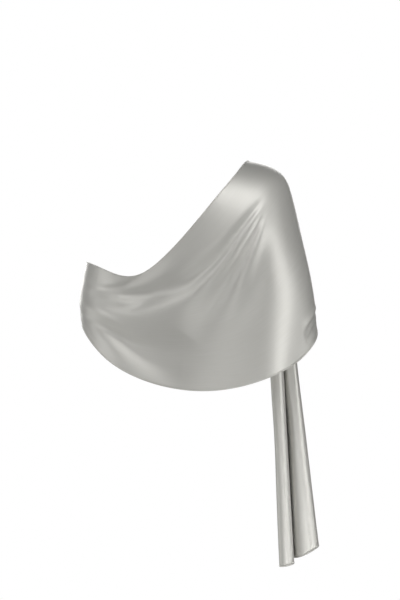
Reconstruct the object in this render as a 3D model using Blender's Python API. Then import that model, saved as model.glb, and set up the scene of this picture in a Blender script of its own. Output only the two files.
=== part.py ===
"""Evening stole of grey satin, worn over the right shoulder and round both elbows.

One long strip of cloth runs from a short left end, round the left elbow, across the back and over the
right shoulder, down the front of the right arm to the crook, and ends in a hanging tail.
Metres, +Z up. +X is the wearer's right, +Y the wearer's front. The origin is on top of the right shoulder.
"""

from collections import namedtuple

import bpy
import numpy as np

# Driving dimensions, in metres
WALL = 0.0015               # thickness of the cloth wall
SEAM_GAP = 0.0003           # between neighbouring stretches
TABLE_UNIT = 0.001          # the tables below are in millimetres
STEPS_ACROSS = 44           # faces across the stole, from top edge to hem
LINE_SAMPLES = 48           # points along the line of a fold
FOLD_REACH = 3              # widths from its line at which a fold has died out
FOLDS_FULL_AT = 20          # millimetres behind the arms' middle, where the back's folds are at full depth
NORMAL_STEP = 2.0           # millimetres along the cloth, either side, to find which way it faces
NORMAL_SHARE = 0.004        # the same across the cloth, as a share of its width
SHARP_ANGLE = 1.0           # radians, so that only the wall's rims shade as edges

# Sections across the stole, in order from the left end to the crook of the right arm.
# Each has five points (x, y, z) from the top edge to the hem, the height of its broad pleats
# and that of the narrow gathers between them.
Section = namedtuple("Section", "top upper middle lower hem pleat gather")
SECTION_POINTS = 5
SECTIONS = {
    "left end hem": Section(
        (-286, 26, -402), (-282, 48, -403), (-282, 71, -403), (-285, 94, -401), (-292, 117, -397), 0, 9.5),
    "left end": Section(
        (-290, 27, -345), (-287, 49, -346), (-288, 71, -346), (-292, 93, -344), (-299, 115, -340), 0, 9.5),
    "inside left forearm": Section(
        (-300, 30, -288), (-299, 51, -287), (-302, 71, -286), (-307, 91, -284), (-313, 112, -281), 1, 8),
    "over left forearm": Section(
        (-322, 33, -252), (-326, 51, -256), (-332, 69, -258), (-338, 88, -257), (-343, 107, -254), 2, 4.5),
    "left arm front": Section(
        (-346, 42, -222), (-357, 52, -241), (-365, 64, -257), (-370, 77, -270), (-370, 92, -281), 3, 2.5),
    "left arm side": Section(
        (-369, 28, -207), (-382, 32, -238), (-389, 36, -266), (-391, 40, -292), (-387, 47, -318), 1.5, 0.6),
    "left elbow": Section(
        (-380, -2, -202), (-389, -4, -240), (-394, -5, -277), (-394, -7, -308), (-388, -14, -338), 0.8, 0),
    "left elbow back": Section(
        (-352, -50, -213), (-357, -56, -255), (-359, -62, -297), (-357, -66, -341), (-347, -70, -390), 4, 0),
    "back left": Section(
        (-288, -78, -233), (-283, -88, -267), (-279, -97, -313), (-271, -106, -376), (-259, -112, -445),
        5, 0),
    "back centre left": Section(
        (-220, -98, -195), (-202, -112, -246), (-185, -122, -307), (-166, -130, -386), (-151, -134, -467),
        2, 0),
    "back centre right": Section(
        (-153, -108, -122), (-120, -120, -193), (-90, -126, -271), (-65, -129, -370), (-50, -128, -456),
        0, 0),
    "shoulder blade": Section(
        (-101, -98, -59), (-57, -112, -124), (-21, -114, -210), (8, -110, -323), (23, -102, -430), 0, 0),
    "right arm back": Section(
        (-65, -66, -15), (-13, -84, -63), (27, -82, -155), (60, -74, -271), (69, -62, -401), 0, 0),
    "right arm outer": Section(
        (-44, -14, 10), (27, -14, -17), (57, -12, -97), (90, -12, -239), (102, -14, -357), 0, 0),
    "right arm side": Section(
        (-40, 26, 3), (24, 28, -26), (52, 32, -105), (83, 34, -232), (98, 38, -336), 4, 1),
    "right arm front": Section(
        (-37, 54, -34), (8, 60, -75), (36, 62, -142), (64, 64, -228), (88, 76, -300), 9, 3),
    "above the crook": Section(
        (-27, 70, -140), (2, 70, -176), (29, 72, -214), (55, 80, -248), (78, 94, -274), 14, 5),
    "right crook": Section(
        (-8, 72, -245), (12, 70, -262), (32, 72, -274), (52, 80, -282), (70, 96, -287), 20, 5),
}

# Turns of the pleated tail, in order across the stole: plan position at its top and at its end hem,
# and the height of the end hem there.
Turn = namedtuple("Turn", "top_x top_y end_x end_y end_z")
TAIL_TOP_Z = -400
TAIL_TURNS = {
    "top edge": Turn(12, 134, 34, 136, -836),
    "top edge side": Turn(8, 102, 28, 104, -838),
    "left roll, inner flank": Turn(7, 60, 26, 60, -841),
    "left roll": Turn(12, 36, 30, 35, -844),
    "left roll, outer flank": Turn(31, 49, 54, 50, -838),
    "front turn, inner side": Turn(31, 108, 55, 110, -831),
    "front turn, outer side": Turn(37, 109, 62, 111, -830),
    "right roll, inner flank": Turn(37, 76, 63, 76, -828),
    "right roll": Turn(46, 59, 78, 58, -822),
    "right roll, outer flank": Turn(61, 70, 107, 72, -806),
    "hem side": Turn(59, 112, 107, 110, -802),
    "hem": Turn(55, 140, 101, 138, -806),
}
TAIL_LEVELS = (0.0, 0.33, 0.66, 1.0)        # shares of the tail's drop that get a section

# Narrow gathers, where the sections give them a height: their turns from the top edge (0) to the hem (1),
# and how far each one stands out, as a share of that height
GatherTurn = namedtuple("GatherTurn", "across height")
GATHER_TURNS = (
    GatherTurn(0, 0.8), GatherTurn(0.14, -1), GatherTurn(0.26, 0.75),
    GatherTurn(0.37, -0.6), GatherTurn(0.51, 1), GatherTurn(0.65, -0.9),
    GatherTurn(0.77, 0.6), GatherTurn(0.88, -0.75), GatherTurn(1, 0.9))

# Which way each turn of a pleat stands off the cloth, in the order of TAIL_TURNS
PLEAT_WAVE = np.array([1, 0.7, 0, -1, 0, 1, 1, 0, -1, 0, 0.7, 1])

# Largest folds of the back, drawn as they are seen from behind: points (x, z) along the fold's line,
# with its half width and its depth at each of them. A negative depth is a ridge. Lean, from -1 to 1,
# makes the slope on the line's left side broader and the one on its right steeper.
Fold = namedtuple("Fold", "line widths depths lean")
FOLDS = {
    "upper crease": Fold(
        ((-10, -78), (-44, -122), (-88, -176), (-134, -218), (-185, -246), (-244, -265), (-311, -268)),
        (8, 12, 16, 20, 22, 22, 18), (0, 4, 7.5, 8.5, 7.5, 5, 0), 0.2),
    "ridge between": Fold(
        ((-15, -111), (-46, -147), (-76, -176), (-109, -221), (-151, -265), (-216, -304)),
        (8, 12, 15, 18, 22, 27), (0, -1.5, -2.5, -3, -2.5, 0), 0),
    "lower crease": Fold(
        ((-13, -137), (-34, -155), (-50, -179), (-67, -218), (-99, -265), (-134, -313), (-164, -357)),
        (8, 10, 13, 17, 22, 29, 37), (0, 3.5, 6, 7.5, 7, 5, 0), 0.2),
    "wide shadow": Fold(
        ((-13, -195), (-21, -245), (-36, -290), (-60, -335)),
        (14, 20, 26, 32), (0, 4, 3.5, 0), 0),
    "elbow line": Fold(
        ((-380, -252), (-352, -257), (-320, -261), (-285, -258)),
        (8, 9, 10, 12), (0, 1.2, 1.2, 0), 0),
    "elbow soft line": Fold(
        ((-386, -296), (-350, -308), (-310, -316), (-262, -312), (-216, -298)),
        (9, 12, 15, 18, 21), (0, 1.5, 2.5, 2.2, 0), 0),
    "elbow valley": Fold(
        ((-386, -302), (-353, -328), (-315, -353), (-269, -378), (-216, -403)),
        (10, 15, 21, 28, 35), (0.5, 3.5, 6, 5.5, 0), 0.2),
    "hem roll": Fold(
        ((-378, -338), (-346, -362), (-307, -391), (-258, -420), (-195, -446)),
        (10, 14, 18, 22, 26), (-0.5, -2.5, -4, -3.5, 0), 0),
}

# Stretches of the stole, each one node: first and last section, and faces along it
Stretch = namedtuple("Stretch", "first last steps")
STRETCHES = {
    "left_end": Stretch("left end hem", "left elbow", 14),
    "back_drape": Stretch("left elbow", "right arm outer", 40),
    "right_front": Stretch("right arm outer", "tail 0", 18),
    "right_tail": Stretch("tail 0", "tail 3", 6),
}

SATIN_COLOUR = (0.42, 0.42, 0.39, 1.0)
SATIN_ROUGHNESS = 0.35


def spline(knots, values, wanted):
    """Natural cubic spline through values (first axis follows knots), read at the wanted places."""
    knots = np.asarray(knots, dtype=float)
    values = np.asarray(values, dtype=float)
    count = len(knots)
    gap = np.diff(knots)
    shape = (-1,) + (1,) * (values.ndim - 1)
    matrix = np.eye(count)
    right = np.zeros_like(values)
    slope = np.diff(values, axis=0) / gap.reshape(shape)
    for i in range(1, count - 1):
        matrix[i, i - 1] = gap[i - 1]
        matrix[i, i] = 2 * (gap[i - 1] + gap[i])
        matrix[i, i + 1] = gap[i]
        right[i] = 6 * (slope[i] - slope[i - 1])
    bend = np.linalg.solve(matrix, right.reshape(count, -1)).reshape(values.shape)
    wanted = np.asarray(wanted, dtype=float)
    i = np.clip(np.searchsorted(knots, wanted) - 1, 0, count - 2)
    g = gap[i].reshape(shape)
    a = ((knots[i + 1] - wanted) / gap[i]).reshape(shape)
    b = 1 - a
    return (a * values[i] + b * values[i + 1]
            + ((a ** 3 - a) * bend[i] + (b ** 3 - b) * bend[i + 1]) * g ** 2 / 6)


def outward(net):
    """Unit normals of a grid of points, on the side away from the wearer."""
    along = np.gradient(net, axis=0)
    across = np.gradient(net, axis=1)
    normal = np.cross(across, along)
    return normal / np.linalg.norm(normal, axis=2, keepdims=True)


def section_net():
    """Every section with a point for each turn of a pleat, and the height and way of its gathers."""
    turns = np.linspace(0, 1, len(PLEAT_WAVE))
    points = np.linspace(0, 1, SECTION_POINTS)
    net = np.array([spline(points, row[:SECTION_POINTS], turns) for row in SECTIONS.values()])
    facing = outward(net).mean(axis=1)
    facing = facing / np.linalg.norm(facing, axis=1, keepdims=True)
    heights = np.array([row.pleat for row in SECTIONS.values()], dtype=float)
    net = net + facing[:, None, :] * heights[:, None, None] * PLEAT_WAVE[None, :, None]
    gathers = facing * np.array([[row.gather] for row in SECTIONS.values()])
    tail = np.array([[
        (turn.top_x + (turn.end_x - turn.top_x) * level,
         turn.top_y + (turn.end_y - turn.top_y) * level,
         TAIL_TOP_Z + (turn.end_z - TAIL_TOP_Z) * level)
        for turn in TAIL_TURNS.values()] for level in TAIL_LEVELS])
    return np.concatenate([net, tail]), np.concatenate([gathers, np.zeros((len(tail), 3))])


def section_places():
    """Place of each section along the stole: the mean distance from the one before, added up."""
    net, _ = section_net()
    steps = np.linalg.norm(np.diff(net, axis=0), axis=2).mean(axis=1)
    return np.concatenate([[0], np.cumsum(steps)])


def fold_depth(points, fold):
    """Depth of one fold at points of a plane, from their distance to the fold's line in it."""
    knots = np.array(fold.line, dtype=float)
    lengths = np.concatenate([[0], np.cumsum(np.linalg.norm(np.diff(knots, axis=0), axis=1))])
    places = np.linspace(0, lengths[-1], LINE_SAMPLES)
    line = spline(lengths, knots, places)
    reach = FOLD_REACH * max(fold.widths)
    near = np.all((points > line.min(axis=0) - reach) & (points < line.max(axis=0) + reach), axis=-1)
    offset = points[near][:, None, :] - line[None, :-1, :]
    step = np.diff(line, axis=0)
    part = np.clip((offset * step).sum(axis=2) / (step ** 2).sum(axis=1), 0, 1)
    away = offset - part[..., None] * step
    distance = np.linalg.norm(away, axis=2)
    nearest = np.argmin(distance, axis=1)
    rows = np.arange(len(nearest))
    place = (nearest + part[rows, nearest]) * places[1]
    gap = away[rows, nearest]
    run = step[nearest]
    side = np.sign(run[:, 0] * gap[:, 1] - run[:, 1] * gap[:, 0])
    width = spline(lengths, fold.widths, place) * (1 + fold.lean * side)
    depth = np.zeros(points.shape[:-1])
    depth[near] = spline(lengths, fold.depths, place) * np.exp(-(distance[rows, nearest] / width) ** 2)
    return depth


def plain_cloth(along, across):
    """Points of the stole without its folds, at places along it and across its width (0 to 1)."""
    net, gathers = section_net()
    turns = np.linspace(0, 1, len(PLEAT_WAVE))
    rows = np.swapaxes(spline(turns, np.swapaxes(net, 0, 1), across), 0, 1)
    places, heights = zip(*GATHER_TURNS)
    wave = spline(places, heights, across)
    rows = rows + gathers[:, None, :] * wave[None, :, None]
    return spline(section_places(), rows, along)


def course_and_facing(surface, along, across):
    """Unit vectors along the stole and outward from it, at places on a surface."""
    course = surface(along + NORMAL_STEP, across) - surface(along - NORMAL_STEP, across)
    breadth = surface(along, across + NORMAL_SHARE) - surface(along, across - NORMAL_SHARE)
    facing = np.cross(breadth, course)
    course = course / np.linalg.norm(course, axis=2, keepdims=True)
    facing = facing / np.linalg.norm(facing, axis=2, keepdims=True)
    return course, facing


def cloth(along, across):
    """Points of the stole with its folds."""
    points = plain_cloth(along, across)
    _, facing = course_and_facing(plain_cloth, along, across)
    on_back = np.clip(-facing[..., 1], 0, 1) * np.clip(-points[..., 1] / FOLDS_FULL_AT, 0, 1)
    seen = points[..., [0, 2]]
    push = sum(fold_depth(seen, fold) for fold in FOLDS.values())
    return points - facing * (push * on_back)[..., None]


def satin():
    """Material of the whole stole."""
    material = bpy.data.materials.new("grey satin")
    material.use_nodes = True
    shader = material.node_tree.nodes["Principled BSDF"]
    shader.inputs["Base Color"].default_value = SATIN_COLOUR
    shader.inputs["Roughness"].default_value = SATIN_ROUGHNESS
    shader.inputs["Metallic"].default_value = 0.0
    return material


def wall_sides(along, across, seam_at_start, seam_at_end):
    """Outer and inner points of the wall, in metres, half its thickness to each side of the cloth."""
    middle = cloth(along, across) * TABLE_UNIT
    course, facing = course_and_facing(cloth, along, across)
    if seam_at_start:
        middle[0] += course[0] * SEAM_GAP / 2
    if seam_at_end:
        middle[-1] -= course[-1] * SEAM_GAP / 2
    return middle + facing * WALL / 2, middle - facing * WALL / 2


def add_stretch(name, outer, inner, collection, material):
    """One stretch as a closed wall: a grid on each side, joined round its four edges."""
    rows, columns = outer.shape[:2]
    layer = rows * columns
    faces = []
    for i in range(rows - 1):
        for j in range(columns - 1):
            a = i * columns + j
            corners = (a, a + 1, a + columns + 1, a + columns)
            faces.append(corners)
            faces.append(tuple(layer + corner for corner in reversed(corners)))
    rim = list(range(columns))
    rim += [i * columns + columns - 1 for i in range(1, rows)]
    rim += [(rows - 1) * columns + j for j in range(columns - 2, -1, -1)]
    rim += [i * columns for i in range(rows - 2, 0, -1)]
    for a, b in zip(rim, rim[1:] + rim[:1]):
        faces.append((b, a, layer + a, layer + b))
    mesh = bpy.data.meshes.new(name)
    points = np.concatenate([outer.reshape(-1, 3), inner.reshape(-1, 3)])
    mesh.from_pydata(points.tolist(), [], faces)
    mesh.materials.append(material)
    mesh.shade_smooth()
    mesh.set_sharp_from_angle(angle=SHARP_ANGLE)
    piece = bpy.data.objects.new(name, mesh)
    collection.objects.link(piece)
    return piece


for old in list(bpy.data.objects):
    bpy.data.objects.remove(old, do_unlink=True)
stole = bpy.data.collections.new("evening_stole")
bpy.context.scene.collection.children.link(stole)
grey_satin = satin()
section_names = list(SECTIONS) + [f"tail {level}" for level in range(len(TAIL_LEVELS))]
places = dict(zip(section_names, section_places()))
across_places = np.linspace(0, 1, STEPS_ACROSS + 1)
for stretch_name, stretch in STRETCHES.items():
    along_places = np.linspace(places[stretch.first], places[stretch.last], stretch.steps + 1)
    seam_at_start = stretch.first != section_names[0]
    seam_at_end = stretch.last != section_names[-1]
    outer_side, inner_side = wall_sides(along_places, across_places, seam_at_start, seam_at_end)
    add_stretch(stretch_name, outer_side, inner_side, stole, grey_satin)
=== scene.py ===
"""Evening stole of grey satin, as it hangs when worn: the cloth, its rolled hem and the hem's stitches.

Metres, +Z up. As worn, +X is to the right and +Y to the front. The origin is on top of the right shoulder.
"""
import math
from collections import namedtuple

import bpy
import numpy as np
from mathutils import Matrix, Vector


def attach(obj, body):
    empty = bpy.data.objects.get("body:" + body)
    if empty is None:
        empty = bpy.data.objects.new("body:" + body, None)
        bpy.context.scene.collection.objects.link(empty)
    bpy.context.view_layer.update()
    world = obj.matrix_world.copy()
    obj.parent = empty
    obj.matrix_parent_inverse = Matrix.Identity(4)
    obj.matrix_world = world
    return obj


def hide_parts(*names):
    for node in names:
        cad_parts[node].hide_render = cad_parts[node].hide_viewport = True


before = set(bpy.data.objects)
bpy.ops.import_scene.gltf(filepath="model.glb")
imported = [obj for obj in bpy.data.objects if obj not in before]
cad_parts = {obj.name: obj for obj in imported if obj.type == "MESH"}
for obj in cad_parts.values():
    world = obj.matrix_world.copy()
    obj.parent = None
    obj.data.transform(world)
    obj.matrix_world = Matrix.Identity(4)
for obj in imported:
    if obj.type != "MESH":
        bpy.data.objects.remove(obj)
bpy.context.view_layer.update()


# The studio: a level camera far behind the stole's back, a pale floor that fades out, and twelve soft
# lights all round. Most of the light comes from the camera's side and from the right.
CAMERA_PLACE = (-0.143, -6.0, -0.281)
VIEW_HEIGHT = 1.26                      # metres of height that the picture shows at the stole
SENSOR = 36.0                           # millimetres
VIEW_END = 100.0                        # farther away than anything in the studio
FLOOR_Z = -1.37                         # an adult's shoulder is about this far above the floor
FLOOR_RADIUS = 4.5
FLOOR_SIDES = 96
FLOOR_CLEAR = (1.5, 4.2)                # the floor fades out between these two distances
BACKGROUND = "FFFFFF"
FLOOR_COLOUR = "F4F4F2"
STOLE = (-0.14, 0.0, -0.30)
TAIL = (0.06, 0.05, -0.90)

# Each light: the point it is aimed at, where it stands as seen from there (turn 0 is toward the camera and
# 90 toward the right, rise is above level), its distance and size, its spread and its power. Angles are in
# degrees, lengths in metres and power in watts.
Softbox = namedtuple("Softbox", "aim turn rise distance width height spread watts")
SOFTBOXES = {
    "key right": Softbox(STOLE, 66, 0, 3.5, 1.0, 2.8, 180, 40),
    "edge right": Softbox(STOLE, 95, -15, 3.2, 0.8, 1.2, 180, 5),
    "high right": Softbox(STOLE, 50, 40, 3.2, 1.0, 1.0, 180, 14),
    "top front": Softbox(STOLE, 16, 45, 3.2, 1.6, 2.2, 180, 35),
    "top left": Softbox(STOLE, -30, 40, 3.2, 1.4, 1.2, 180, 12),
    "left high": Softbox(STOLE, -105, 40, 3.2, 1.2, 1.2, 180, 20),
    "left low": Softbox(STOLE, -100, -14, 3.2, 1.4, 1.6, 180, 10),
    "left": Softbox(STOLE, -60, 5, 3.5, 2.2, 2.2, 180, 25),
    "front": Softbox(STOLE, 5, 0, 5.0, 2.0, 1.6, 180, 16),
    "tail": Softbox(TAIL, 28, -8, 2.6, 1.2, 0.3, 26, 0.6),
    "far right": Softbox(STOLE, 172, 20, 3.5, 2.0, 2.0, 180, 40),
    "far left": Softbox(STOLE, -155, 15, 3.5, 2.0, 2.0, 180, 60),
}


def linear(hex_colour):
    """Linear RGBA of an sRGB hex colour."""
    parts = [int(hex_colour[i:i + 2], 16) / 255 for i in (0, 2, 4)]
    return tuple(c / 12.92 if c <= 0.04045 else ((c + 0.055) / 1.055) ** 2.4 for c in parts) + (1.0,)


def node(tree, kind, settings=None, **links):
    """Adds a node with its settings, and sets or links its inputs by name."""
    made = tree.nodes.new(kind)
    for name, value in (settings or {}).items():
        setattr(made, name, value)
    for name, value in links.items():
        socket = made.inputs[name.replace("_", " ")]
        if isinstance(value, bpy.types.NodeSocket):
            tree.links.new(value, socket)
        else:
            socket.default_value = value
    return made


camera_data = bpy.data.cameras.new("camera")
camera_data.sensor_width = SENSOR
camera_data.lens = SENSOR * abs(CAMERA_PLACE[1]) / VIEW_HEIGHT
camera_data.clip_end = VIEW_END
camera = bpy.data.objects.new("camera", camera_data)
camera.location = CAMERA_PLACE
camera.rotation_euler = (math.pi / 2, 0.0, 0.0)
bpy.context.scene.collection.objects.link(camera)
bpy.context.scene.camera = camera

for light_name, box in SOFTBOXES.items():
    light_data = bpy.data.lights.new(light_name, "AREA")
    light_data.shape = "RECTANGLE"
    light_data.size = box.width
    light_data.size_y = box.height
    light_data.energy = box.watts
    light_data.spread = math.radians(box.spread)
    light = bpy.data.objects.new(light_name, light_data)
    turn = math.radians(box.turn)
    rise = math.radians(box.rise)
    toward = Vector((math.sin(turn) * math.cos(rise), -math.cos(turn) * math.cos(rise), math.sin(rise)))
    light.location = Vector(box.aim) + toward * box.distance
    light.rotation_euler = (-toward).to_track_quat("-Z", "Y").to_euler()
    light.visible_camera = False
    bpy.context.scene.collection.objects.link(light)

world = bpy.data.worlds.new("white surroundings")
world.use_nodes = True
world.node_tree.nodes["Background"].inputs["Color"].default_value = linear(BACKGROUND)
world.node_tree.nodes["Background"].inputs["Strength"].default_value = 1.0
bpy.context.scene.world = world
world.cycles_visibility.diffuse = False
world.cycles_visibility.glossy = False
bpy.context.scene.view_settings.view_transform = "Standard"

bpy.ops.object.select_all(action="DESELECT")
bpy.ops.mesh.primitive_circle_add(
    vertices=FLOOR_SIDES, radius=FLOOR_RADIUS, fill_type="NGON", location=(0, 0, FLOOR_Z))
floor = bpy.context.active_object
floor.name = "floor"
bpy.ops.object.transform_apply(location=True)
floor_paint = bpy.data.materials.new("matt white paper")
floor_paint.use_nodes = True
tree = floor_paint.node_tree
tree.nodes.clear()
where = node(tree, "ShaderNodeTexCoord")
level = node(tree, "ShaderNodeVectorMath", {"operation": "MULTIPLY"})
tree.links.new(where.outputs["Object"], level.inputs[0])
level.inputs[1].default_value = (1.0, 1.0, 0.0)
away = node(tree, "ShaderNodeVectorMath", {"operation": "LENGTH"})
tree.links.new(level.outputs[0], away.inputs[0])
fade = node(tree, "ShaderNodeMapRange", {"interpolation_type": "SMOOTHSTEP"}, Value=away.outputs["Value"],
            From_Min=FLOOR_CLEAR[0], From_Max=FLOOR_CLEAR[1])
paper = node(tree, "ShaderNodeBsdfDiffuse", Color=linear(FLOOR_COLOUR))
clear = node(tree, "ShaderNodeBsdfTransparent")
fading = node(tree, "ShaderNodeMixShader", Fac=fade.outputs["Result"])
tree.links.new(paper.outputs[0], fading.inputs[1])
tree.links.new(clear.outputs[0], fading.inputs[2])
node(tree, "ShaderNodeOutputMaterial", Surface=fading.outputs[0])
floor.data.materials.append(floor_paint)


# The cloth: one straight strip of satin about 0.40 m wide and 1.67 m long, cut in a single piece. It is
# draped, with nothing sewn to hold its shape. It goes round the left elbow, across the back and over the
# right shoulder and arm to the crook of that arm, and hangs from there in two soft rolls.
FLAT = (0.40, 1.67)                     # metres
CLOTH_THICKNESS = 0.0005
MILLIMETRE = 0.001                      # the tables are in millimetres
FLAT_WIDTH = FLAT[0] / MILLIMETRE
STEPS_ACROSS = 112
STEPS_ALONG = (50, 210, 140)            # to the left elbow, finer across the back, and on to the tail's end
BACK_FROM = 282                         # place of the left elbow along the cloth
BACK_TO = 890                           # place of the right arm's outer line
NORMAL_STEP = 2.0                       # millimetres along the cloth, to find which way it faces
NORMAL_SHARE = 0.004                    # the same across it, as a share of its width

# Sections from the left end to the crook of the right arm, with five points (x, y, z) from the top edge
# to the hem, the height of the broad pleats and that of the narrow gathers.
Section = namedtuple("Section", "top upper middle lower hem pleat gather")
SECTION_POINTS = 5
SECTIONS = {
    "left end hem": Section(
        (-286, 26, -402), (-282, 48, -403), (-282, 71, -403), (-285, 94, -401), (-292, 117, -397), 0, 9.5),
    "left end": Section(
        (-290, 27, -345), (-287, 49, -346), (-288, 71, -346), (-292, 93, -344), (-299, 115, -340), 0, 9.5),
    "inside left forearm": Section(
        (-300, 30, -288), (-299, 51, -287), (-302, 71, -286), (-307, 91, -284), (-313, 112, -281), 1, 8),
    "over left forearm": Section(
        (-322, 33, -252), (-326, 51, -256), (-332, 69, -258), (-338, 88, -257), (-343, 107, -254), 2, 4.5),
    "left arm front": Section(
        (-346, 42, -222), (-357, 52, -241), (-365, 64, -257), (-370, 77, -270), (-370, 92, -281), 3, 2.5),
    "left arm side": Section(
        (-369, 28, -207), (-382, 32, -238), (-389, 36, -266), (-391, 40, -292), (-387, 47, -318), 1.5, 0.6),
    "left elbow": Section(
        (-380, -2, -202), (-389, -4, -240), (-394, -5, -277), (-394, -7, -308), (-388, -14, -338), 0.8, 0),
    "left elbow back": Section(
        (-352, -50, -213), (-357, -56, -255), (-359, -62, -297), (-357, -66, -341), (-347, -70, -390),
        2.5, 0),
    "back left": Section(
        (-288, -78, -233), (-283, -88, -267), (-279, -97, -313), (-271, -106, -376), (-259, -112, -445),
        3.5, 0),
    "back centre left": Section(
        (-220, -98, -195), (-202, -112, -246), (-185, -122, -307), (-166, -130, -386), (-151, -134, -467),
        2, 0),
    "back centre right": Section(
        (-153, -108, -122), (-120, -120, -193), (-90, -126, -271), (-65, -129, -370), (-50, -128, -456),
        0, 0),
    "shoulder blade": Section(
        (-101, -98, -59), (-57, -112, -124), (-21, -114, -210), (8, -110, -323), (23, -102, -430), 0, 0),
    "right arm back": Section(
        (-65, -66, -15), (-13, -84, -63), (27, -82, -155), (60, -74, -271), (69, -62, -401), 0, 0),
    "right arm outer": Section(
        (-44, -14, 10), (27, -14, -17), (57, -12, -97), (90, -12, -239), (102, -14, -357), 0, 0),
    "right arm side": Section(
        (-40, 26, 3), (24, 28, -26), (52, 32, -105), (83, 34, -232), (98, 38, -336), 4, 1),
    "right arm front": Section(
        (-37, 54, -34), (8, 60, -75), (36, 62, -142), (64, 64, -228), (88, 76, -300), 9, 3),
    "above the crook": Section(
        (-27, 70, -140), (2, 70, -176), (29, 72, -214), (55, 80, -248), (78, 94, -274), 14, 5),
    "right crook": Section(
        (-8, 72, -245), (12, 70, -262), (32, 72, -274), (52, 80, -282), (70, 96, -287), 20, 5),
}

# Turns of the pleated tail, in order across the stole: plan position at its top and at its end hem,
# and the height of the end hem there.
Turn = namedtuple("Turn", "top_x top_y end_x end_y end_z")
TAIL_TOP_Z = -400
TAIL_TURNS = {
    "top edge": Turn(12, 134, 34, 136, -836),
    "top edge side": Turn(8, 102, 28, 104, -838),
    "left roll, inner flank": Turn(7, 60, 26, 60, -841),
    "left roll": Turn(12, 36, 30, 35, -844),
    "left roll, outer flank": Turn(32, 50, 56, 51, -838),
    "front turn, inner side": Turn(23, 110, 46, 112, -831),
    "front turn, outer side": Turn(30, 112, 54, 114, -830),
    "right roll, inner flank": Turn(35, 72, 59, 72, -828),
    "right roll": Turn(46, 59, 78, 58, -822),
    "right roll, outer flank": Turn(61, 70, 107, 72, -806),
    "hem side": Turn(59, 112, 107, 110, -802),
    "hem": Turn(55, 140, 101, 138, -806),
}
TAIL_LEVELS = (0.0, 0.33, 0.66, 1.0)    # shares of the tail's drop where it has a section

# Which way each turn of a pleat stands off the cloth, in the order of TAIL_TURNS.
PLEAT_WAVE = np.array([1, 0.7, 0, -1, 0, 1, 1, 0, -1, 0, 0.7, 1])

# Narrow gathers, where the sections give them a height: their turns from the top edge (0) to the hem (1),
# and how far each one stands out, as a share of that height.
GatherTurn = namedtuple("GatherTurn", "across height")
GATHER_TURNS = (
    GatherTurn(0, 0.8), GatherTurn(0.14, -1), GatherTurn(0.26, 0.75),
    GatherTurn(0.37, -0.6), GatherTurn(0.51, 1), GatherTurn(0.65, -0.9),
    GatherTurn(0.77, 0.6), GatherTurn(0.88, -0.75), GatherTurn(1, 0.9))

# Folds of the back, drawn as they are seen from behind: points (x, z) along the fold's line, with its half
# width and its depth at each of them. A negative depth is a ridge. Lean, from -1 to 1, makes the slope on
# the line's left side broader and the one on its right steeper.
Fold = namedtuple("Fold", "line widths depths lean")
BACK_FOLDS = {
    "upper crease": Fold(
        ((-10, -66), (-34, -101), (-53, -127), (-72, -151), (-88, -172), (-132, -216), (-176, -248),
         (-244, -267), (-311, -268)),
        (6, 8, 10, 12, 14, 19, 21, 22, 18), (0, 3, 5, 6.5, 7.5, 8.5, 7, 4.5, 0), -0.1),
    "ridge between": Fold(
        ((-11, -83), (-25, -101), (-42, -122), (-61, -146), (-77, -168), (-93, -193), (-123, -228),
         (-160, -262)),
        (5, 6, 7, 8, 10, 12, 16, 20), (0, -1.8, -2.6, -3, -3, -2.8, -2.2, 0), 0.2),
    "lower crease": Fold(
        ((-12, -106), (-23, -128), (-36, -153), (-48, -174), (-60, -197), (-72, -216), (-99, -263),
         (-134, -313), (-164, -357)),
        (5, 7, 9, 11, 13, 15, 21, 29, 37), (0, 3, 5, 6, 7, 7.8, 8, 5.5, 0), -0.15),
    "second ridge": Fold(
        ((3, -90), (-6, -109), (-15, -132), (-25, -160), (-36, -188), (-48, -216), (-68, -255)),
        (6, 8, 10, 12, 14, 16, 20), (0, -1.2, -2.2, -2.6, -2.6, -2, 0), 0.2),
    "wide shadow": Fold(
        ((-6, -150), (-19, -206), (-27, -245), (-40, -290), (-60, -335)),
        (12, 18, 22, 26, 30), (0, 2.2, 3.4, 3, 0), 0),
    "elbow line": Fold(
        ((-366, -253), (-340, -256), (-312, -254), (-285, -243), (-250, -221), (-205, -184)),
        (6, 8, 9, 10, 12, 14), (0, 1, 2.3, 2.5, 1.5, 0), -0.2),
    "elbow soft line": Fold(
        ((-386, -276), (-350, -288), (-318, -296), (-282, -295), (-248, -281), (-216, -260)),
        (8, 10, 11, 12, 14, 17), (0, 1.5, 2.8, 3, 2, 0), 0),
    "elbow valley": Fold(
        ((-390, -303), (-356, -328), (-317, -356), (-288, -381), (-256, -400), (-220, -414), (-180, -420)),
        (8, 12, 16, 19, 23, 28, 34), (1.5, 4, 6.5, 7, 6, 3.5, 0), 0.1),
    "hem roll": Fold(
        ((-402, -350), (-367, -397), (-323, -436), (-270, -466), (-202, -491), (-110, -508)),
        (15, 24, 30, 34, 37, 40), (-1, -6, -10, -10, -7.5, 0), 0),
}

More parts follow.
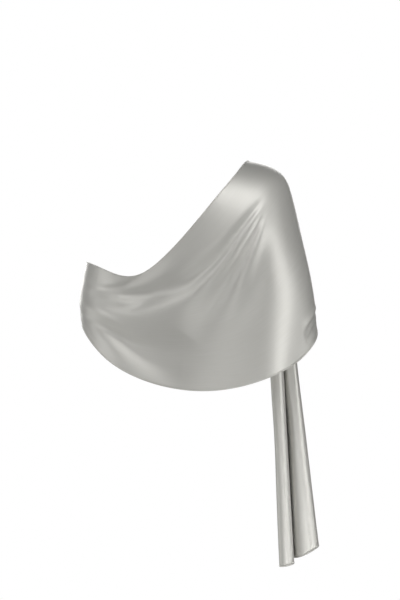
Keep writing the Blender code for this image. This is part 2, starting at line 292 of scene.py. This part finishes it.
# Creases of the other stretches, drawn on the flat cloth: (millimetres along it, share of its width).
CLOTH_CREASES = {
    "right elbow, ridge": Fold(
        ((905, 0.86), (876, 0.868), (848, 0.88), (812, 0.895)),
        (5, 6, 6, 8), (0, -3, -2.5, 0), 0),
    "right elbow, upper": Fold(
        ((905, 0.89), (876, 0.895), (848, 0.905), (815, 0.92)),
        (5, 6, 6, 8), (2, 5, 4, 0), 0),
    "right elbow, lower": Fold(
        ((905, 0.945), (880, 0.94), (850, 0.94), (822, 0.945)),
        (5, 5, 6, 8), (2, 4.5, 3, 0), 0),
    "front, first": Fold(
        ((1120, 0.28), (1040, 0.22), (900, 0.16)),
        (10, 14, 20), (0, 3, 0), 0.2),
    "front, second": Fold(
        ((1100, 0.47), (1030, 0.43), (905, 0.34)),
        (10, 16, 24), (0, 3, 0), -0.2),
    "front, third": Fold(
        ((1120, 0.66), (1040, 0.66), (915, 0.58)),
        (9, 14, 22), (0, 3, 0), 0.1),
    "front, fourth": Fold(
        ((1150, 0.80), (1050, 0.84), (930, 0.80)),
        (8, 12, 18), (2.5, 2, 0), 0),
    "left forearm, first": Fold(
        ((196, 0.22), (150, 0.26), (90, 0.20)),
        (6, 8, 12), (1.5, 2, 0), 0),
    "left forearm, second": Fold(
        ((210, 0.55), (150, 0.52), (70, 0.58)),
        (6, 8, 14), (1.5, 2, 0), 0),
    "tail, first": Fold(
        ((1249, 0.24), (1400, 0.27), (1560, 0.25)),
        (7, 9, 12), (1.6, 1.4, 0), 0),
    "tail, second": Fold(
        ((1249, 0.70), (1380, 0.72), (1520, 0.70)),
        (7, 9, 12), (1.6, 1.4, 0), 0),
}
LINE_SAMPLES = 48                       # points along the line of a fold
FOLD_REACH = 3                          # widths from its line at which a fold has died out
FOLDS_FULL_AT = 20                      # mm behind the arms' middle, where the back's folds are full


def spline(knots, values, wanted):
    """Natural cubic spline through values (first axis follows knots), read at the wanted places."""
    knots = np.asarray(knots, dtype=float)
    values = np.asarray(values, dtype=float)
    count = len(knots)
    gap = np.diff(knots)
    shape = (-1,) + (1,) * (values.ndim - 1)
    matrix = np.eye(count)
    right = np.zeros_like(values)
    slope = np.diff(values, axis=0) / gap.reshape(shape)
    for i in range(1, count - 1):
        matrix[i, i - 1] = gap[i - 1]
        matrix[i, i] = 2 * (gap[i - 1] + gap[i])
        matrix[i, i + 1] = gap[i]
        right[i] = 6 * (slope[i] - slope[i - 1])
    bend = np.linalg.solve(matrix, right.reshape(count, -1)).reshape(values.shape)
    wanted = np.asarray(wanted, dtype=float)
    i = np.clip(np.searchsorted(knots, wanted) - 1, 0, count - 2)
    g = gap[i].reshape(shape)
    a = ((knots[i + 1] - wanted) / gap[i]).reshape(shape)
    b = 1 - a
    return (a * values[i] + b * values[i + 1]
            + ((a ** 3 - a) * bend[i] + (b ** 3 - b) * bend[i + 1]) * g ** 2 / 6)


def section_net():
    """Every section with a point for each turn of a pleat, and the height and way of its gathers."""
    turns = np.linspace(0, 1, len(PLEAT_WAVE))
    points = np.linspace(0, 1, SECTION_POINTS)
    net = np.array([spline(points, row[:SECTION_POINTS], turns) for row in SECTIONS.values()])
    facing = np.cross(np.gradient(net, axis=1), np.gradient(net, axis=0))
    facing = (facing / np.linalg.norm(facing, axis=2, keepdims=True)).mean(axis=1)
    facing = facing / np.linalg.norm(facing, axis=1, keepdims=True)
    heights = np.array([row.pleat for row in SECTIONS.values()], dtype=float)
    net = net + facing[:, None, :] * heights[:, None, None] * PLEAT_WAVE[None, :, None]
    gathers = facing * np.array([[row.gather] for row in SECTIONS.values()])
    tail = np.array([[
        (turn.top_x + (turn.end_x - turn.top_x) * share,
         turn.top_y + (turn.end_y - turn.top_y) * share,
         TAIL_TOP_Z + (turn.end_z - TAIL_TOP_Z) * share)
        for turn in TAIL_TURNS.values()] for share in TAIL_LEVELS])
    return np.concatenate([net, tail]), np.concatenate([gathers, np.zeros((len(tail), 3))])


NET, GATHER_HEIGHTS = section_net()
NET_STEPS = np.linalg.norm(np.diff(NET, axis=0), axis=2).mean(axis=1)
NET_PLACES = np.concatenate([[0], np.cumsum(NET_STEPS)])    # millimetres along the stole


def fold_depth(points, fold):
    """Depth of one fold at points of a plane, from their distance to the fold's line in it."""
    knots = np.array(fold.line, dtype=float)
    lengths = np.concatenate([[0], np.cumsum(np.linalg.norm(np.diff(knots, axis=0), axis=1))])
    places = np.linspace(0, lengths[-1], LINE_SAMPLES)
    line = spline(lengths, knots, places)
    reach = FOLD_REACH * max(fold.widths)
    near = np.all((points > line.min(axis=0) - reach) & (points < line.max(axis=0) + reach), axis=-1)
    offset = points[near][:, None, :] - line[None, :-1, :]
    step = np.diff(line, axis=0)
    part = np.clip((offset * step).sum(axis=2) / (step ** 2).sum(axis=1), 0, 1)
    away = offset - part[..., None] * step
    distance = np.linalg.norm(away, axis=2)
    nearest = np.argmin(distance, axis=1)
    rows = np.arange(len(nearest))
    place = (nearest + part[rows, nearest]) * places[1]
    gap = away[rows, nearest]
    run = step[nearest]
    side = np.sign(run[:, 0] * gap[:, 1] - run[:, 1] * gap[:, 0])
    width = spline(lengths, fold.widths, place) * (1 + fold.lean * side)
    depth = np.zeros(points.shape[:-1])
    depth[near] = spline(lengths, fold.depths, place) * np.exp(-(distance[rows, nearest] / width) ** 2)
    return depth


def plain_cloth(along, across):
    """Points of the stole without its folds, at places along it and across its width (0 to 1)."""
    turns = np.linspace(0, 1, len(PLEAT_WAVE))
    rows = np.swapaxes(spline(turns, np.swapaxes(NET, 0, 1), across), 0, 1)
    places, heights = zip(*GATHER_TURNS)
    wave = spline(places, heights, across)
    rows = rows + GATHER_HEIGHTS[:, None, :] * wave[None, :, None]
    return spline(NET_PLACES, rows, along)


def course_and_facing(surface, along, across):
    """Unit vectors along the stole and outward from it, at places on a surface."""
    course = surface(along + NORMAL_STEP, across) - surface(along - NORMAL_STEP, across)
    breadth = surface(along, across + NORMAL_SHARE) - surface(along, across - NORMAL_SHARE)
    facing = np.cross(breadth, course)
    course = course / np.linalg.norm(course, axis=2, keepdims=True)
    facing = facing / np.linalg.norm(facing, axis=2, keepdims=True)
    return course, facing


def cloth_points(along, across):
    """Points of the stole with its folds and creases."""
    points = plain_cloth(along, across)
    _, facing = course_and_facing(plain_cloth, along, across)
    on_back = np.clip(-facing[..., 1], 0, 1) * np.clip(-points[..., 1] / FOLDS_FULL_AT, 0, 1)
    seen = points[..., [0, 2]]
    push = sum(fold_depth(seen, fold) for fold in BACK_FOLDS.values()) * on_back
    flat = np.stack(np.meshgrid(along, across * FLAT_WIDTH, indexing="ij"), axis=-1)
    for crease in CLOTH_CREASES.values():
        on_flat = [(place, share * FLAT_WIDTH) for place, share in crease.line]
        push = push + fold_depth(flat, crease._replace(line=on_flat))
    return points - facing * push[..., None]


def sheet_mesh(name, grid, grid_uv):
    """A mesh of four-sided faces over a grid of points, with a UV map in metres of flat cloth."""
    rows, columns = grid.shape[:2]
    corner = np.arange(rows * columns).reshape(rows, columns)
    faces = np.stack([corner[:-1, :-1], corner[:-1, 1:], corner[1:, 1:], corner[1:, :-1]], axis=-1)
    faces = faces.reshape(-1, 4)
    mesh = bpy.data.meshes.new(name)
    mesh.from_pydata(grid.reshape(-1, 3).tolist(), [], faces.tolist())
    uv = mesh.uv_layers.new(name="UVMap")
    uv.data.foreach_set("uv", grid_uv.reshape(-1, 2)[faces.reshape(-1)].astype(np.float32).ravel())
    mesh.shade_smooth()
    made = bpy.data.objects.new(name, mesh)
    bpy.context.scene.collection.objects.link(made)
    return made


def select_only(piece):
    """Makes one piece the only one that an operator acts on."""
    bpy.ops.object.select_all(action="DESELECT")
    bpy.context.view_layer.objects.active = piece
    piece.select_set(True)


along_places = np.concatenate([
    np.linspace(0, BACK_FROM, STEPS_ALONG[0], endpoint=False),
    np.linspace(BACK_FROM, BACK_TO, STEPS_ALONG[1], endpoint=False),
    np.linspace(BACK_TO, NET_PLACES[-1], STEPS_ALONG[2] + 1)])
across_places = np.linspace(0, 1, STEPS_ACROSS + 1)
cloth_grid = cloth_points(along_places, across_places) * MILLIMETRE
flat_places = np.meshgrid(along_places / along_places[-1] * FLAT[1], across_places * FLAT[0], indexing="ij")
cloth_uv = np.stack(flat_places[::-1], axis=-1)
cloth = sheet_mesh("stole_cloth", cloth_grid, cloth_uv)
select_only(cloth)
thickness = cloth.modifiers.new("thickness", "SOLIDIFY")
thickness.thickness = CLOTH_THICKNESS
thickness.offset = 0.0
bpy.ops.object.modifier_apply(modifier="thickness")

# Satin, woven with long floating threads on its face and pressed. It gives the eye a smooth surface with
# broad soft highlights, brighter than plain cloth's and drawn out across the threads.
SATIN_LIGHT = "C9C8C4"
SATIN_DARK = "C1C0BA"
SATIN_METALLIC = 0.45                   # the floats mirror much of the light, as a brushed metal does
SATIN_ROUGHNESS = (0.40, 0.46)
SATIN_SHEEN = 0.08
SATIN_SHEEN_ROUGHNESS = 0.4
STREAK_MM = (2.5, 60.0)                 # width and length of the faint uneven streaks of the warp
STREAK_DETAIL = 3.0
FLOAT_MM = (0.9, 7.2)                   # a float is about 0.12 mm wide, drawn coarser so that it shows
FLOAT_DETAIL = 1.0
WEAVE_STRENGTH = 0.12
WEAVE_DEPTH = 0.0002


def per_metre(size_mm):
    """How many marks of a size in millimetres go into a metre, across and along the cloth."""
    return (1 / MILLIMETRE / size_mm[0], 1 / MILLIMETRE / size_mm[1], 1.0)


def satin_material():
    """Satin that reads the piece's UV map, which is in metres across and along the cloth."""
    made = bpy.data.materials.new("grey satin")
    made.use_nodes = True
    tree = made.node_tree
    shader = tree.nodes["Principled BSDF"]
    place = node(tree, "ShaderNodeUVMap", {"uv_map": "UVMap"})
    streak_place = node(tree, "ShaderNodeMapping", Vector=place.outputs[0], Scale=per_metre(STREAK_MM))
    streaks = node(
        tree, "ShaderNodeTexNoise", Vector=streak_place.outputs[0], Scale=1.0, Detail=STREAK_DETAIL)
    tone = node(tree, "ShaderNodeMix", {"data_type": "RGBA"})
    tree.links.new(streaks.outputs["Fac"], tone.inputs[0])
    tone.inputs[6].default_value = linear(SATIN_LIGHT)
    tone.inputs[7].default_value = linear(SATIN_DARK)
    tree.links.new(tone.outputs[2], shader.inputs["Base Color"])
    gloss = node(tree, "ShaderNodeMapRange", Value=streaks.outputs["Fac"],
                 To_Min=SATIN_ROUGHNESS[0], To_Max=SATIN_ROUGHNESS[1])
    tree.links.new(gloss.outputs["Result"], shader.inputs["Roughness"])
    float_place = node(tree, "ShaderNodeMapping", Vector=place.outputs[0], Scale=per_metre(FLOAT_MM))
    floats = node(tree, "ShaderNodeTexNoise", Vector=float_place.outputs[0], Scale=1.0, Detail=FLOAT_DETAIL)
    weave = node(
        tree, "ShaderNodeBump", Height=floats.outputs["Fac"], Strength=WEAVE_STRENGTH, Distance=WEAVE_DEPTH)
    tree.links.new(weave.outputs[0], shader.inputs["Normal"])
    shader.inputs["Metallic"].default_value = SATIN_METALLIC
    shader.inputs["Sheen Weight"].default_value = SATIN_SHEEN
    shader.inputs["Sheen Roughness"].default_value = SATIN_SHEEN_ROUGHNESS
    return made


grey_satin = satin_material()
cloth.data.materials.append(grey_satin)
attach(cloth, "root")
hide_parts("left_end", "back_drape", "right_front", "right_tail")


# The rolled hem: the raw edge of the strip, turned over twice into a narrow cord of its own satin and
# stitched down. It goes all round, along both long edges and both ends.
HEM_RADIUS = 0.0012
HEM_SIDES = 8
HEM_STEP = 3.0                          # millimetres between its rings
MERGE_DISTANCE = 0.00001


def edge_path(inset):
    """Places along and across, once round the cloth's edge, a share of its width inside it."""
    last = NET_PLACES[-1]
    steps_along = round(last / HEM_STEP)
    steps_across = round(FLAT_WIDTH / HEM_STEP)
    inset_along = inset * FLAT_WIDTH
    lengthwise = np.linspace(inset_along, last - inset_along, steps_along + 1)
    breadthwise = np.linspace(inset, 1 - inset, steps_across + 1)
    return lengthwise, breadthwise


def edge_frames(inset):
    """Points round the cloth's edge, the way it faces there, and the way out of the cloth's edge."""
    lengthwise, breadthwise = edge_path(inset)
    ends = np.array([lengthwise[0], lengthwise[-1]])
    sides = np.array([inset, 1 - inset])
    long_edges = cloth_points(lengthwise, sides)
    course, facing_long = course_and_facing(cloth_points, lengthwise, sides)
    short_edges = cloth_points(ends, breadthwise)
    course_short, facing_short = course_and_facing(cloth_points, ends, breadthwise)
    out_top = np.cross(course, facing_long)[:, 0]
    out_hem = -np.cross(course, facing_long)[:, 1]
    points = np.concatenate([
        long_edges[:-1, 0], short_edges[1, :-1], long_edges[:0:-1, 1], short_edges[0, :0:-1]])
    facing = np.concatenate([
        facing_long[:-1, 0], facing_short[1, :-1], facing_long[:0:-1, 1], facing_short[0, :0:-1]])
    out = np.concatenate([
        out_top[:-1], course_short[1, :-1], out_hem[:0:-1], -course_short[0, :0:-1]])
    return points, facing, out


def point_faces_outwards(piece, merge_distance=None):
    """Points the faces of closed shells outwards, with doubles merged first where a distance is given."""
    select_only(piece)
    bpy.ops.object.mode_set(mode="EDIT")
    bpy.ops.mesh.select_all(action="SELECT")
    if merge_distance:
        bpy.ops.mesh.remove_doubles(threshold=merge_distance)
    bpy.ops.mesh.normals_make_consistent(inside=False)
    bpy.ops.object.mode_set(mode="OBJECT")


edge_points, edge_facing, edge_out = edge_frames(0.0)
run = np.roll(edge_points, -1, axis=0) - np.roll(edge_points, 1, axis=0)
run = run / np.linalg.norm(run, axis=1, keepdims=True)
side = np.cross(run, edge_facing)
side = side / np.linalg.norm(side, axis=1, keepdims=True)
side = side * np.sign((side * edge_out).sum(axis=1, keepdims=True))
angles = np.linspace(0, 2 * np.pi, HEM_SIDES + 1)
rings = (edge_points[:, None] * MILLIMETRE
         + HEM_RADIUS * (np.cos(angles)[None, :, None] * edge_facing[:, None]
                         + np.sin(angles)[None, :, None] * side[:, None]))
rings = np.concatenate([rings, rings[:1]])
edge_steps = np.linalg.norm(np.diff(rings[:, 0], axis=0), axis=1)
edge_length = np.concatenate([[0], np.cumsum(edge_steps)])
hem_uv = np.stack(np.meshgrid(edge_length, angles * HEM_RADIUS, indexing="ij")[::-1], axis=-1)
hem = sheet_mesh("rolled_hem", rings, hem_uv)
point_faces_outwards(hem, MERGE_DISTANCE)
hem.data.materials.append(grey_satin)
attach(hem, "root")


# The hem's stitches: a single row of short machine stitches in fine polyester thread, a little inside the
# rolled edge. They show on both faces of the cloth.
STITCH_LENGTH = 0.0024
STITCH_GAP = 0.0006
STITCH_RADIUS = 0.00018
STITCH_INSET = 0.006                    # share of the width, about 2.5 mm from the edge
STITCH_PLACES = np.array([0.0, 0.25, 0.75, 1.0])    # shares of its length where a stitch has a ring
STITCH_SWELL = (0.25, 1.0, 1.0, 0.25)   # its thickness there: it narrows where it dips into the cloth
STITCH_RING = ((1, 0), (0, 1), (-1, 0), (0, -1))
STITCH_SINK = 0.6                       # radii that it is pressed into the cloth
THREAD_COLOUR = "B4B3AC"
THREAD_ROUGHNESS = 0.45
THREAD_MARKS = 900.0                    # marks of the twist in a metre, about one a millimetre

row_points, row_facing, _ = edge_frames(STITCH_INSET)
row_points = np.concatenate([row_points, row_points[:1]]) * MILLIMETRE
row_facing = np.concatenate([row_facing, row_facing[:1]])
row_place = np.concatenate([[0], np.cumsum(np.linalg.norm(np.diff(row_points, axis=0), axis=1))])
stitch_count = int(row_place[-1] / (STITCH_LENGTH + STITCH_GAP))
sides = len(STITCH_RING)
stitch_verts = []
stitch_faces = []
for number in range(stitch_count):
    begin = number * (STITCH_LENGTH + STITCH_GAP)
    spots = begin + STITCH_LENGTH * STITCH_PLACES
    middle = np.stack([np.interp(spots, row_place, row_points[:, k]) for k in range(3)], axis=1)
    out = np.stack([np.interp(spots, row_place, row_facing[:, k]) for k in range(3)], axis=1)
    out = out / np.linalg.norm(out, axis=1, keepdims=True)
    across = np.cross(middle[-1] - middle[0], out)
    across = across / np.linalg.norm(across, axis=1, keepdims=True)
    for face_side in (1, -1):
        first = len(stitch_verts)
        for k, swell in enumerate(STITCH_SWELL):
            lift = CLOTH_THICKNESS / 2 + STITCH_RADIUS * (swell - STITCH_SINK)
            centre = middle[k] + face_side * out[k] * lift
            for a, b in STITCH_RING:
                spoke = a * across[k] + b * face_side * out[k]
                stitch_verts.append(centre + STITCH_RADIUS * swell * spoke)
        for k in range(len(STITCH_SWELL) - 1):
            for j in range(sides):
                a = first + k * sides + j
                b = first + k * sides + (j + 1) % sides
                stitch_faces.append((a, b, b + sides, a + sides))
        stitch_faces.append(tuple(first + j for j in reversed(range(sides))))
        stitch_faces.append(tuple(len(stitch_verts) - sides + j for j in range(sides)))
stitch_mesh = bpy.data.meshes.new("hem_stitches")
stitch_mesh.from_pydata(stitch_verts, [], stitch_faces)
stitch_mesh.shade_smooth()
stitches = bpy.data.objects.new("hem_stitches", stitch_mesh)
bpy.context.scene.collection.objects.link(stitches)
point_faces_outwards(stitches)

# Polyester thread, spun and twisted. It gives the eye a row of small soft glints, a little duller than
# the satin.
thread = bpy.data.materials.new("grey polyester thread")
thread.use_nodes = True
thread_shader = thread.node_tree.nodes["Principled BSDF"]
thread_where = node(thread.node_tree, "ShaderNodeTexCoord")
twist = node(
    thread.node_tree, "ShaderNodeTexNoise", Vector=thread_where.outputs["Object"], Scale=THREAD_MARKS)
thread_tone = node(thread.node_tree, "ShaderNodeMix", {"data_type": "RGBA"})
thread.node_tree.links.new(twist.outputs["Fac"], thread_tone.inputs[0])
thread_tone.inputs[6].default_value = linear(THREAD_COLOUR)
thread_tone.inputs[7].default_value = linear(SATIN_LIGHT)
thread.node_tree.links.new(thread_tone.outputs[2], thread_shader.inputs["Base Color"])
thread_shader.inputs["Roughness"].default_value = THREAD_ROUGHNESS
stitches.data.materials.append(thread)
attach(stitches, "root")
